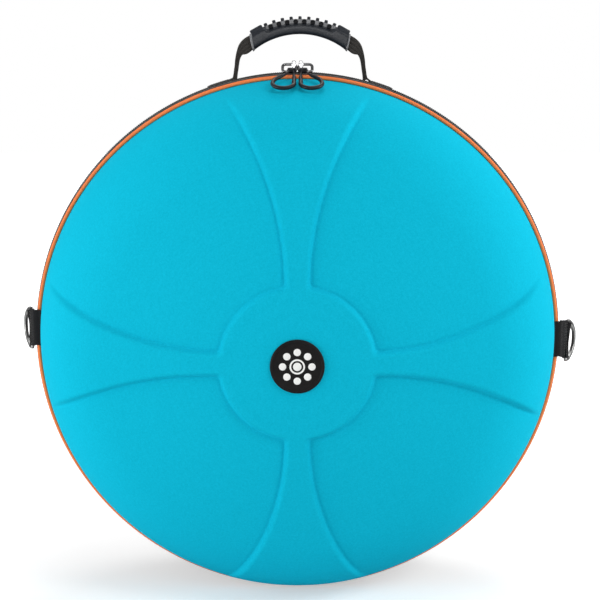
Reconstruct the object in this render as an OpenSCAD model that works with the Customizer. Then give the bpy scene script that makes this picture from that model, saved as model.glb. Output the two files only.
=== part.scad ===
// Round zip-around hard case for a handpan, standing on its lower rim with the carrying handle on top.
// +Z is up and the front half faces -Y. The origin lies on the resting flat, in the parting plane
// between the two halves, straight below the case's centre.

/* [Case] */
// Radius of the ring that the piping's centre follows
rim_r = 298.5; // [280:0.5:320]
// Height of the front half's crown above the parting plane
front_crown = 156; // [140:1:170]
// Height of the rear half's crown behind the parting plane
rear_crown = 140; // [130:1:150]
// Thickness of the moulded foam shells
shell_t = 5; // [4:0.5:6]
// Height of the raised disc and arms of the front shell
emboss = 5.5; // [3:0.5:6]
// How far the rim is pressed flat where the case rests
settle = 1.35; // [1:0.05:2]

/* [Embossed pattern] */
// Radius of the raised disc
disc_r = 83; // [70:1:95]
// Half width of each raised arm where it leaves the disc
arm_half_w = 14; // [10:1:18]
// Radius of the arms' hollow sides, which flare to the rim
arm_flare_r = 404; // [350:1:450]

/* [Zip and piping] */
// Radius of the piping cord in its cover
piping_r = 2.65; // [2:0.05:2.8]
// Thickness of the zip tape
tape_t = 1.2; // [0.8:0.1:1.2]
// Radius of each zip coil
coil_r = 1.25; // [1:0.05:1.3]
// Half the angle that the fabric hinge takes up at the bottom
hinge_half = 17; // [14:1:20]
// Thickness of the fabric hinge
gusset_t = 1.8; // [1.2:0.1:1.8]

/* [Handle] */
// Distance of the handle's middle from the case's centre line
handle_shift = 3.5; // [0:0.5:5]
// Half the width across the handle's straps
handle_half_w = 77; // [70:1:84]
// Width of the webbing straps
strap_w = 25; // [20:1:26]
// Radius of the grip's hollow underside
grip_inner_r = 84.8; // [80:0.1:90]
// Thickness of the grip without its studs
grip_t = 17.2; // [15:0.1:19]
// Depth of the grip, front to back
grip_depth = 29; // [26:1:31]

/* [Strap rings] */
// Distance of the left ring's bar from the case's centre
left_reach = 307.5; // [307.5:0.5:312]
// Distance of the right ring's bar from the case's centre
right_reach = 311.5; // [307.5:0.5:314]
// Height of the left ring above the case's centre
left_rise = 5; // [-12:1:12]
// Height of the right ring above the case's centre
right_rise = -10; // [-12:1:12]
// Angle of the rings from straight back, outward
ring_lean = 25; // [15:1:60]

/* [Hidden] */
$fn = 96;
far = 900;
gap = 0.3;

// Rim, measured as radius and as distance from the parting plane
centre_z = rim_r + piping_r - settle;
edge_h = 9;
flange_r = rim_r + 0.7;
piping_h = 16.75;
flange_h = piping_h - piping_r - 0.2;
groove_h = piping_h + piping_r + gap;

// Front dome: a crown cap that runs into a shoulder, which leans inward at the rim
front_rim_r = rim_r - 3;
front_lean = 17;
front_shoulder = 125;
front_r1 = front_rim_r - front_shoulder * cos(front_lean);
front_h1 = piping_h - front_shoulder * sin(front_lean);

// Rear dome: a straight side wall, a rounder shoulder and a flatter back
rear_wall_r = rim_r + 2.5;
rear_wall_h = 50;
rear_shoulder = 70;
rear_r1 = rear_wall_r - rear_shoulder;
rear_emboss = 3.5;
rear_groove_r = rim_r - 1.2;
rear_pipe_r = 2.4;

// Lining and padding
lining_t = 1.5;
pad_gap = 0.3;
pad_inner_r = 272;
pad_low_h = 1.5;
pad_high_h = 48;
crown_pad_r = 85;
crown_pad_t = 20;

// Zip
tape_r = rim_r + 0.8;
coil_mid_r = tape_r + tape_t + coil_r + 0.1;
coil_gap = 0.6;
coil_h = coil_gap + coil_r + 0.05;
slider_length = 11.6;
slider_width = 9;
slider_plate_t = 2;
slider_top_r = coil_mid_r + coil_r + 0.4;
slider_low_r = tape_r - 0.7;
slider_turn = asin((slider_length / 2 + 0.5) / slider_top_r);
bail_hole_r = 2.6;
bail_wire = 1.5;
bail_x = 1.1;
bail_width = 2.2;
pull_pivot_r = slider_top_r + slider_plate_t + 5.4;
pull_drop = [9.5, -7];
pull_wire_r = 0.9;
pull_inner_x = 1.6;
pull_width = 15;
loop_cord_r = 2.15;
loop_slope = 19.8;
loop_start = [13.5, 305.8];
loop_neck = [6.8, 0];
loop_neck_r = 1.6;
loop_body = [15.5, 40];
loop_body_r = 11;
crimp_r = 2.6;
crimp_x = [-9.4, -4.2];

// Badge
badge_r = 29;
badge_t = 2.5;
emblem_t = 0.5;

// Handle
handle_y = 35;
handle_pivot_z = 308;
strap_t = 2.1;
strap_in = handle_half_w - 2 * strap_t - gap;
grip_centre_z = 259.3;
grip_outer_r = grip_inner_r + grip_t;
grip_top_r = grip_outer_r + 4.5;
patch_t = 2;
patch_angle = 6.2;

// Strap rings
ring_bar_r = 2.2;
ring_bore_r = 2.3;
tab_half_h = 21;
tab_bar_h = 3;
tab_t = 1.5;
d_outer_r = 27;
d_inner_r = 22.4;
d_thick = 4;

// ---- Frames ----

// Turns a shape drawn around the case's centre, with its height towards the front, into place
module on_case() translate([0, 0, centre_z]) rotate([90, 0, 0]) children();

// The space below the resting flat
module below_floor() translate([-far / 2, -far / 2, -far]) cube([far, far, far]);

// Mirrors the left-hand piece into the right-hand one
module left_or_right(right) mirror([right ? 1 : 0, 0, 0]) children();

// ---- Profiles ----

// Solid dome profile, from the parting plane to a crown; grow moves its surface outward
module dome_2d(r1, h1, shoulder, crown, grow) {
    k = crown - h1 - shoulder;
    c = (r1 * r1 - k * k) / (2 * k);
    theta = atan(r1 / c);
    cap_r = c + k + shoulder + grow;
    intersection() {
        square([far, far]);
        union() {
            translate([r1, h1]) circle(r = shoulder + grow, $fn = 180);
            intersection() {
                translate([0, h1 - c]) circle(r = cap_r, $fn = 360);
                polygon([[0, h1 - c], [0, far], [tan(theta) * (far - h1 + c), far]]);
            }
        }
    }
}

module front_dome_2d(grow) dome_2d(front_r1, front_h1, front_shoulder, front_crown, grow);

module rear_dome_2d(grow) {
    dome_2d(rear_r1, rear_wall_h, rear_shoulder, rear_crown, grow);
    square([rear_wall_r + grow, rear_wall_h]);
}

module slab_2d(r_low, h_low, h_high) translate([r_low, h_low]) square([far - r_low, h_high - h_low]);

// Block at a shell's edge, which the zip tape is sewn to
module flange_2d(r_low, r_high, h_high) translate([r_low, edge_h]) square([r_high - r_low, h_high - edge_h]);

// Raised pattern seen from the front: a disc with four arms that flare to the rim
module arms_2d() {
    circle(r = disc_r);
    for (turn = [0:90:270]) rotate(turn) difference() {
        translate([-disc_r, 0]) square([2 * disc_r, rim_r + 10]);
        for (side = [-1, 1])
            translate([side * (arm_half_w + arm_flare_r), disc_r]) circle(r = arm_flare_r, $fn = 360);
        translate([-far / 2, -1]) square([far / 2 - arm_half_w, disc_r + 1]);
        translate([arm_half_w, -1]) square([far / 2 - arm_half_w, disc_r + 1]);
    }
}

// Ring that stops short of the fabric hinge at the bottom
module open_ring(short = 0) {
    start = -90 + hinge_half + short;
    rotate_extrude(angle = 360 - 2 * (hinge_half + short), start = start, $fn = 240) children();
}

module full_ring() rotate_extrude($fn = 240) children();

// ---- Front half ----

module front_shell() {
    color([0.08, 0.70, 0.80]) difference() {
        on_case() {
            full_ring() difference() {
                union() {
                    intersection() {
                        front_dome_2d(0);
                        slab_2d(0, edge_h, far);
                    }
                    flange_2d(front_rim_r - 8, flange_r, flange_h);
                }
                front_dome_2d(-shell_t);
            }
            intersection() {
                full_ring() intersection() {
                    difference() {
                        front_dome_2d(emboss);
                        front_dome_2d(-shell_t / 2);
                    }
                    slab_2d(0, groove_h, far);
                }
                linear_extrude(far) arms_2d();
            }
        }
        below_floor();
    }
}

module front_lining() {
    color([0.12, 0.12, 0.13]) on_case() full_ring() intersection() {
        difference() {
            front_dome_2d(-shell_t);
            front_dome_2d(-shell_t - lining_t);
        }
        slab_2d(0, edge_h, far);
    }
}

module front_rim_pad() {
    color([0.20, 0.20, 0.21]) on_case() full_ring() intersection() {
        front_dome_2d(-shell_t - lining_t - pad_gap);
        slab_2d(pad_inner_r, pad_low_h, pad_high_h);
    }
}

module front_crown_pad() {
    color([0.20, 0.20, 0.21]) on_case() full_ring() intersection() {
        front_dome_2d(-shell_t - lining_t);
        translate([0, front_crown - shell_t - lining_t - crown_pad_t]) square([crown_pad_r, 2 * crown_pad_t]);
    }
}

module front_piping() {
    color([0.95, 0.50, 0.25]) difference() {
        on_case() full_ring() translate([rim_r, piping_h]) circle(r = piping_r, $fn = 32);
        below_floor();
    }
}

module front_zip_tape() {
    color([0.10, 0.10, 0.10])
        on_case() open_ring() translate([tape_r, coil_gap + 0.1]) square([tape_t, flange_h - coil_gap - 0.1]);
}

module front_zip_coil() {
    color([0.14, 0.14, 0.14])
        on_case() open_ring(1) translate([coil_mid_r, coil_h]) circle(r = coil_r, $fn = 24);
}

module badge_base() {
    color([0.06, 0.06, 0.06]) on_case() full_ring() difference() {
        union() {
            translate([0, front_crown + emboss - 1.1]) square([badge_r, badge_t]);
            translate([badge_r - 3, front_crown + emboss - 1.1]) square([3, badge_t + 1.1]);
        }
        front_dome_2d(emboss + 0.05);
    }
}

// A plain tone-field motif: a middle dot, a ring and a circle of eight small discs
module badge_emblem() {
    color([0.92, 0.92, 0.90]) on_case() translate([0, 0, front_crown + emboss + badge_t - 1.1]) {
        cylinder(r = 4.5, h = emblem_t);
        difference() {
            cylinder(r = 8.2, h = emblem_t);
            translate([0, 0, -1]) cylinder(r = 6.4, h = emblem_t + 2);
        }
        for (turn = [0:45:315]) rotate(turn) translate([15.5, 0, 0]) cylinder(r = 3.9, h = emblem_t);
    }
}

// ---- Rear half ----

module rear_half() rotate([0, 180, 0]) children();

module rear_shell() {
    color([0.09, 0.09, 0.10]) difference() {
        on_case() rear_half() {
            full_ring() difference() {
                union() {
                    intersection() {
                        rear_dome_2d(0);
                        slab_2d(0, groove_h, far);
                    }
                    flange_2d(rear_wall_r - 9, rear_groove_r, groove_h);
                    flange_2d(rear_wall_r - 9, flange_r, flange_h);
                }
                rear_dome_2d(-shell_t - 1.5);
            }
            intersection() {
                full_ring() intersection() {
                    difference() {
                        rear_dome_2d(rear_emboss);
                        rear_dome_2d(-shell_t / 2);
                    }
                    slab_2d(0, rear_wall_h, far);
                }
                linear_extrude(far) circle(r = disc_r);
            }
        }
        below_floor();
    }
}

module rear_lining() {
    color([0.12, 0.12, 0.13]) on_case() rear_half() full_ring() intersection() {
        difference() {
            rear_dome_2d(-shell_t - 1.5);
            rear_dome_2d(-shell_t - 1.5 - lining_t);
        }
        slab_2d(0, edge_h, far);
    }
}

module rear_rim_pad() {
    color([0.20, 0.20, 0.21]) on_case() rear_half() full_ring() intersection() {
        rear_dome_2d(-shell_t - 1.5 - lining_t - pad_gap);
        slab_2d(pad_inner_r, pad_low_h, pad_high_h);
    }
}

module rear_crown_pad() {
    color([0.20, 0.20, 0.21]) on_case() rear_half() full_ring() intersection() {
        rear_dome_2d(-shell_t - 1.5 - lining_t);
        translate([0, rear_crown - shell_t - 1.5 - lining_t - crown_pad_t])
            square([crown_pad_r, 2 * crown_pad_t]);
    }
}

module rear_piping() {
    color([0.10, 0.10, 0.10]) difference() {
        on_case() rear_half() full_ring()
            translate([rear_groove_r + rear_pipe_r + 0.1, piping_h]) circle(r = rear_pipe_r, $fn = 32);
        below_floor();
    }
}

module rear_zip_tape() {
    color([0.10, 0.10, 0.10]) on_case() rear_half() open_ring()
        translate([tape_r, coil_gap + 0.1]) square([tape_t, flange_h - coil_gap - 0.1]);
}

module rear_zip_coil() {
    color([0.14, 0.14, 0.14]) on_case() rear_half() open_ring(1)
        translate([coil_mid_r, coil_h]) circle(r = coil_r, $fn = 24);
}

// Rear part of the fabric strip that joins the halves at the bottom; it ends on the fold line
module hinge_gusset() {
    color([0.09, 0.09, 0.09]) difference() {
        on_case() rotate_extrude(angle = 2 * hinge_half - 1, start = -90 - hinge_half + 0.5, $fn = 240)
            translate([tape_r, -flange_h]) square([gusset_t, flange_h]);
        below_floor();
    }
}

// Sewn-down strap end with the upright layer that the handle's strap turns against
module handle_anchor(right) {
    layer_x = handle_half_w + (right ? handle_shift : -handle_shift);
    patch_start = asin(layer_x / (rear_wall_r + patch_t)) - 0.6;
    base_z = sqrt(pow(rear_wall_r + patch_t / 2, 2) - pow(layer_x - strap_t / 2, 2));
    color([0.13, 0.12, 0.11]) left_or_right(right) translate([0, handle_y, centre_z]) {
        rotate([90, 0, 0]) translate([0, 0, -strap_w / 2])
            rotate_extrude(angle = patch_angle, start = 90 + patch_start, $fn = 240)
                translate([rear_wall_r + 0.1, 0]) square([patch_t, strap_w]);
        translate([-layer_x, -strap_w / 2, base_z]) cube([strap_t, strap_w, handle_pivot_z - base_z]);
        translate([-layer_x, 0, handle_pivot_z]) rotate([0, 90, 0]) cylinder(d = strap_w, h = strap_t);
    }
}

module handle_anchor_left() handle_anchor(false);
module handle_anchor_right() handle_anchor(true);

// ---- Handle ----

// The inner layer of the strap, which wraps into a thick fold beside the grip
module handle_strap(right) {
    fold = [
        [-strap_in - strap_t, 308], [-strap_in - strap_t, 317], [-72.7, 328.1], [-69.9, 334.1],
        [-64.6, 339], [-57, 342.9], [-53.5, 326.8], [-58.5, 323.9], [-62.9, 322.5],
        [-67.3, 322.1], [-69.2, 319.4], [-strap_in, 313], [-strap_in, 308]
    ];
    color([0.13, 0.12, 0.11]) translate([handle_shift, handle_y, centre_z]) left_or_right(right) {
        translate([0, strap_w / 2, 0]) rotate([90, 0, 0]) linear_extrude(strap_w) polygon(fold);
        translate([-strap_in - strap_t, 0, handle_pivot_z]) rotate([0, 90, 0])
            cylinder(d = strap_w - 0.6, h = strap_t);
    }
}

module handle_strap_left() handle_strap(false);
module handle_strap_right() handle_strap(true);

// Side view of the grip's rubber body, cut by its sloping ends
module grip_side_2d(r_out) {
    intersection() {
        difference() {
            circle(r = r_out, $fn = 180);
            circle(r = grip_inner_r, $fn = 180);
        }
        for (side = [0, 1]) mirror([side, 0])
            polygon([[0, 30], [40, 30], [53, 66.2], [58.4, 90.5], [58.4, 120], [0, 120]]);
    }
}

module grip_block(r_low, r_high, turn, width, depth) {
    rotate(turn) translate([-width / 2, r_low, -depth / 2]) cube([width, r_high - r_low, depth]);
}

module handle_grip() {
    stud_turn = 5.6;
    core = grip_depth - 7;
    color([0.17, 0.18, 0.20])
    translate([handle_shift, handle_y, centre_z + grip_centre_z]) rotate([90, 0, 0]) {
        intersection() {
            linear_extrude(grip_depth, center = true) grip_side_2d(grip_outer_r);
            rotate_extrude(angle = 90, start = 45, $fn = 180)
                translate([(grip_inner_r + grip_outer_r) / 2, 0]) union() {
                    square([grip_t + 2, core], center = true);
                    for (side = [-1, 1], level = [-1, 1])
                        translate([level * (grip_t / 2 - 5), side * (grip_depth / 2 - 5)])
                            circle(r = 5, $fn = 32);
                    square([grip_t - 10, grip_depth], center = true);
                    square([grip_t, grip_depth - 10], center = true);
                }
        }
        for (i = [-4:4]) grip_block(grip_outer_r - 2, grip_top_r - 0.3, i * stud_turn, 3.6, core);
        for (i = [-3.5:1:3.5], side = [-1, 1])
            rotate(i * stud_turn) translate([0, grip_outer_r - 5.5, side * (grip_depth / 2 - 0.8)])
                cylinder(r = 2.9, h = 3.2, center = true);
        for (side = [-1, 1]) rotate(side * 28.6) {
            grip_block(grip_outer_r - 3, grip_top_r, 0, 13.5, grip_depth - 3);
        }
    }
}

// ---- Strap rings ----

// Folded webbing tab, drawn from above with x as the radius; it wraps round the ring's bar
module ring_tab(right, reach, rise) {
    height = 2 * tab_half_h;
    color([0.12, 0.12, 0.12]) left_or_right(right)
        translate([0, 0, centre_z + rise - tab_half_h]) rotate([0, 0, 180]) difference() {
            union() {
                linear_extrude(height) polygon([
                    [298.0, 27.4], [301.0, 28.2], [305.2, 19], [reach + 3, tab_bar_h + 2],
                    [reach - 3, tab_bar_h + 2], [302.3, 14.5], [301.5, 18.4]
                ]);
                translate([reach, tab_bar_h, 0]) cylinder(r = ring_bore_r + tab_t, h = height);
            }
            translate([reach, tab_bar_h, -1]) cylinder(r = ring_bore_r, h = height + 2);
        }
}

module ring_tab_left() ring_tab(false, left_reach, left_rise);
module ring_tab_right() ring_tab(true, right_reach, right_rise);

// Flat cast D-ring whose straight side is a round bar inside the tab
module d_ring(right, reach, rise) {
    color([0.45, 0.45, 0.46]) left_or_right(right)
        translate([-reach, -tab_bar_h, centre_z + rise]) rotate([0, 0, 90 + ring_lean]) {
            cylinder(r = ring_bar_r, h = 2 * tab_half_h + 4, center = true);
            difference() {
                rotate([90, 0, 0]) linear_extrude(d_thick, center = true) difference() {
                    intersection() {
                        translate([-1, 0]) circle(r = d_outer_r);
                        translate([-ring_bar_r, -far / 2]) square([far, far]);
                    }
                    intersection() {
                        translate([-1, 0]) circle(r = d_inner_r);
                        translate([ring_bar_r, -far / 2]) square([far, far]);
                    }
                }
                translate([-4, -4, -tab_half_h - 0.4]) cube([6.6, 8, 2 * tab_half_h + 0.8]);
            }
        }
}

module d_ring_left() d_ring(false, left_reach, left_rise);
module d_ring_right() d_ring(true, right_reach, right_rise);

// ---- Zip sliders ----

// Turns the slider's own frame, x along the zip and y outward, to its place beside the top
module at_slider(right) on_case() left_or_right(right) rotate(slider_turn) children();

module slider(right) {
    color([0.15, 0.15, 0.16]) at_slider(right) {
        translate([0, slider_top_r, 0]) rotate([-90, 0, 0]) linear_extrude(slider_plate_t) polygon([
            [-slider_length / 2, -3.2], [slider_length / 2, -slider_width / 2],
            [slider_length / 2, slider_width / 2], [-slider_length / 2, 3.2]
        ]);
        translate([-1, slider_low_r - 0.1, -0.4]) cube([4, slider_top_r - slider_low_r + 0.2, 0.8]);
        translate([-slider_length / 2, slider_low_r - 1.6, -slider_width / 2])
            cube([slider_length, 1.6, slider_width]);
    }
}

module slider_left() slider(false);
module slider_right() slider(true);

// Chrome arch that the pull ring hangs in
module slider_bail(right) {
    leg = pull_pivot_r - slider_top_r - slider_plate_t;
    outer = bail_hole_r + bail_wire;
    color([0.85, 0.85, 0.87]) at_slider(right)
        translate([bail_x, pull_pivot_r, 0]) rotate([0, 90, 0]) linear_extrude(bail_width) difference() {
            union() {
                circle(r = outer, $fn = 48);
                translate([-outer, -leg]) square([2 * outer, leg]);
            }
            circle(r = bail_hole_r, $fn = 48);
            translate([-bail_hole_r, -leg - 1]) square([2 * bail_hole_r, leg + 1]);
        }
}

module slider_bail_left() slider_bail(false);
module slider_bail_right() slider_bail(true);

// Round wire along the edge of a rounded rectangle
module wire_frame(width, height, corner, wire) {
    for (x = [0, 1], y = [0, 1])
        translate([x ? width - corner : corner, y ? height - corner : corner, 0])
            rotate_extrude(angle = 90, start = x ? (y ? 0 : 270) : (y ? 90 : 180))
                translate([corner, 0]) circle(r = wire, $fn = 24);
    for (y = [0, height])
        translate([corner, y, 0]) rotate([0, 90, 0]) cylinder(r = wire, h = width - 2 * corner);
    for (x = [0, width])
        translate([x, corner, 0]) rotate([-90, 0, 0]) cylinder(r = wire, h = height - 2 * corner);
}

// Wire ring that hangs forward from the bail over the piping
module pull_ring(right) {
    length = sqrt(pow(pull_drop[0], 2) + pow(pull_drop[1], 2));
    color([0.62, 0.62, 0.64]) on_case() left_or_right(right)
        translate([-pull_inner_x, pull_pivot_r, 0]) mirror([1, 0, 0])
            rotate([90 - atan2(pull_drop[1], pull_drop[0]), 0, 0])
                wire_frame(pull_width, length, 2.4, pull_wire_r);
}

module pull_ring_left() pull_ring(false);
module pull_ring_right() pull_ring(true);

// Loop of cord: an arc round the body circle, and two strands that run together at the neck
module cord_loop(neck, neck_r, body, body_r, wire) {
    d = norm(body - neck);
    along = atan2(body[1] - neck[1], body[0] - neck[0]);
    tilt = acos((neck_r - body_r) / d);
    run = sqrt(d * d - pow(body_r - neck_r, 2));
    translate(body) rotate_extrude(angle = 2 * tilt, start = along - tilt)
        translate([body_r, 0]) circle(r = wire, $fn = 24);
    for (side = [-1, 1]) {
        turn = along + side * tilt;
        translate([neck[0] + neck_r * cos(turn), neck[1] + neck_r * sin(turn), 0])
            rotate([0, 90, turn - side * 90]) cylinder(r = wire, h = run, $fn = 24);
        translate([body[0] + body_r * cos(turn), body[1] + body_r * sin(turn), 0])
            sphere(r = wire + 0.08, $fn = 24);
    }
}

// Rubber-covered loop pull, clamped round the pull ring and lying over the piping on the shell
module pull_loop(right) {
    wire_at = [pull_drop[0], pull_pivot_r + pull_drop[1]];
    color([0.07, 0.07, 0.08]) on_case() left_or_right(right) {
        translate([0, loop_start[1], loop_start[0]]) rotate([90 + loop_slope, 0, 0]) mirror([1, 0, 0])
            cord_loop(loop_neck, loop_neck_r, loop_body, loop_body_r, loop_cord_r);
        translate([crimp_x[1], 0, 0]) rotate([0, -90, 0])
        linear_extrude(crimp_x[1] - crimp_x[0]) difference() {
            union() {
                translate(wire_at) circle(r = crimp_r, $fn = 32);
                polygon([
                    wire_at + [0, -crimp_r + 0.2], wire_at + [0, crimp_r - 0.1], loop_start + [0, 2.4],
                    loop_start + [6.4, 0], loop_start + [4.6, -3.6]
                ]);
            }
            translate(wire_at) circle(r = pull_wire_r + 0.1, $fn = 32);
        }
    }
}

module pull_loop_left() pull_loop(false);
module pull_loop_right() pull_loop(true);

rear_shell();
rear_lining();
rear_rim_pad();
rear_crown_pad();
rear_piping();
rear_zip_tape();
rear_zip_coil();
hinge_gusset();
handle_anchor_left();
handle_anchor_right();
front_shell();
front_lining();
front_rim_pad();
front_crown_pad();
front_piping();
front_zip_tape();
front_zip_coil();
badge_base();
badge_emblem();
ring_tab_left();
ring_tab_right();
d_ring_left();
d_ring_right();
handle_grip();
handle_strap_left();
handle_strap_right();
slider_left();
slider_right();
slider_bail_left();
slider_bail_right();
pull_ring_left();
pull_ring_right();
pull_loop_left();
pull_loop_right();
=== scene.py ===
"""Looks of a round zip-around hard case for a handpan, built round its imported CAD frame.

Lengths below are millimetres; a piece becomes metres when its mesh is made. Points round the case are
given as a radius r from the case's axis, an angle that turns from +X towards +Z, and a height h from
the parting plane, positive towards the front of the case.
"""

import math

import bmesh
import bpy
import numpy as np
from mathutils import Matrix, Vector


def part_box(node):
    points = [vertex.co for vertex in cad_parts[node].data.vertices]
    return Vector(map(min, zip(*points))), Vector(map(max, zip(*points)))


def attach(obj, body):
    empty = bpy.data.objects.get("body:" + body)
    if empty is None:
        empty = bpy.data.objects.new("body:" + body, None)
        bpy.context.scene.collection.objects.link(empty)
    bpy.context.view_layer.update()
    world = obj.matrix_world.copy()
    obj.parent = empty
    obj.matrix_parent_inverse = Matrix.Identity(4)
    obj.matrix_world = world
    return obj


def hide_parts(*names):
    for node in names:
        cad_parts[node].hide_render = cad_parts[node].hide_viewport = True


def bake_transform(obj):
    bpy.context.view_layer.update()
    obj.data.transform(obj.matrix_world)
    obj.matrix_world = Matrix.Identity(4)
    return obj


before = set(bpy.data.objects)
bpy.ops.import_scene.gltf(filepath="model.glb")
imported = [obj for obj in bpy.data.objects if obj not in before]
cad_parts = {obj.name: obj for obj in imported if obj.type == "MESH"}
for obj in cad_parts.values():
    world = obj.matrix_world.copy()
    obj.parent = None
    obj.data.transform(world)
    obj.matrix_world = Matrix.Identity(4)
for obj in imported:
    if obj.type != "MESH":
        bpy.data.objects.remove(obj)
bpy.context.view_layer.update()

MM = 0.001


# ---- Dimensions, from the frame where it holds them ----

def box_mm(node):
    """Lowest and highest corner of a CAD node, in millimetres."""
    low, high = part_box(node)
    return np.array(low) / MM, np.array(high) / MM


piping_low, piping_high = box_mm("front_piping")
PIPING_R = (piping_high[1] - piping_low[1]) / 2
PIPING_H = -(piping_high[1] + piping_low[1]) / 2
RIM_R = piping_high[0] - PIPING_R
CENTRE_Z = piping_high[2] - piping_high[0]
FRONT_PIPE_R = PIPING_R - 0.5
FRONT_PIPE_RING = RIM_R - 0.8
TOP = math.pi / 2
FLOOR_Z = 0.05

# Front dome: crown cap, shoulder, and how far its inside and its fuller outside lean in at the rim
EMBOSS = 5.5
FRONT_CROWN = -box_mm("front_shell")[0][1] - EMBOSS
FRONT_EDGE_R = RIM_R - 3
FRONT_SHOULDER = 125
INSIDE_LEAN = math.radians(17)
SKIN_LEAN = math.radians(7)
SHELL_T = 5
EDGE_H = 9
FLANGE_R = RIM_R + 0.7
FLANGE_H = PIPING_H - PIPING_R - 0.2

# Rear dome
REAR_EMBOSS = 3.5
REAR_CROWN = box_mm("rear_shell")[1][1] - REAR_EMBOSS
REAR_WALL_R = RIM_R + 2.5
REAR_WALL_H = 50
REAR_SHOULDER = 70
REAR_SHELL_T = 6.5
LINING_T = 1.5
rear_pipe_low, rear_pipe_high = box_mm("rear_piping")
REAR_PIPE_R = (rear_pipe_high[1] - rear_pipe_low[1]) / 2
REAR_PIPE_RING = rear_pipe_high[0] - REAR_PIPE_R

# Raised pattern: a disc and four arms, which point up, left, down and right. The slope's foot and top
# are distances outside the pattern's edge, and the fades are heights between which it runs out.
DISC_R = 83
ARM_HALF_W = 12.3
ARM_FLARE_R = (318, 355, 300, 300)
PATTERN_FILLET = 5
PATTERN_FOOT, PATTERN_TOP = 1.6, -5.0
GROOVE_SHARE, GROOVE_W = 0.13, 1.8
FRONT_FADE = (40, 105)
REAR_FADE = (60, 110)

# Zip
TAPE_R = RIM_R + 0.8
HINGE_HALF = math.radians(17)
STITCH_PITCH = 4.2
COIL_R = 301.85
COIL_PITCH = 2.3
COIL_WIRE_R = 0.42
SLIDER_TOP_R = 303.5
SLIDER_PLATE_T = 2
SLIDER_LENGTH = 11.6
SLIDER_TURN = math.asin((SLIDER_LENGTH / 2 + 0.5) / SLIDER_TOP_R)
BAIL_PIVOT_R = SLIDER_TOP_R + SLIDER_PLATE_T + 5.4
RING_WIRE_R = 1.6
RING_DROP = np.array([9.5, -7.0])
LOOP_SLOPE = math.radians(19.8)
LOOP_START = np.array([13.5, 305.8])

# Handle, measured from its own middle line
HANDLE_X = 2.9
HANDLE_Y = 35
STRAP_W = 25
STRAP_T = 2.1
HANDLE_HALF_W = 77
GRIP_Z = CENTRE_Z + 259.3
GRIP_IN = 84.8
GRIP_OUT = 102
GRIP_DEPTH = 29
GRIP_SEAM_R = GRIP_OUT - 7.2
GRIP_PITCH_DEG = 5.6
GRIP_HALF_DEG, GRIP_FLARE_DEG = 34.2, 5.0

# Strap rings: reach from the case's axis and height above its centre, on each side
RING_REACH = {"left": 307.5, "right": 311.5}
RING_RISE = {"left": 9, "right": -6}
TAB_LIFT = {"left": 4.5, "right": 6}
RING_LEAN = {"left": math.radians(28), "right": math.radians(33)}
BAR_H = 3
TAB_HALF_H = 20.8

SIDES = {"left": -1, "right": 1}

# Rim pads: heights from the parting plane, inner radius, depth and number of the sewn channels
RIM_PAD_LOW, RIM_PAD_HIGH = 1.5, 48
RIM_PAD_R = 272.3
RIM_PAD_PUFF = 3.6
RIM_PAD_CHANNELS = 40

# Lights: name, place in metres, size and watts
LIGHTS = (("key_upper_right", (1.7, -1.5, 2.0), 0.9, 17), ("side_left", (-2.3, 0.1, 0.5), 1.3, 18),
          ("side_right", (2.3, 0.1, 0.8), 1.3, 30), ("top_front", (0, -0.7, 2.6), 1.2, 7),
          ("top_back", (0.2, 1.2, 2.3), 1.2, 13), ("front", (0, -2.8, 1.0), 1.0, 11),
          ("low_left", (-2.0, -1.0, 0.35), 1.0, 18))
LIT_BY_WORLD, WORLD_SEEN = 0.45, 1.0

# Camera: a little above the case's middle on a long lens
CAMERA_LENS = 88.97
CAMERA_ELEVATION = math.radians(10.5)
CAMERA_TARGET = (2.9, 0, CENTRE_Z + 41.5)
CAMERA_DISTANCE_M = 1.716


# ---- Mesh helpers ----

def placed(name, data, place=(0, 0, 0), aim=None):
    """An object in the scene, which points its -Z axis along aim if one is given."""
    obj = bpy.data.objects.new(name, data)
    bpy.context.scene.collection.objects.link(obj)
    obj.location = place
    if aim is not None:
        obj.rotation_mode = "QUATERNION"
        obj.rotation_quaternion = aim.to_track_quat("-Z", "Y")
    return obj


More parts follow.
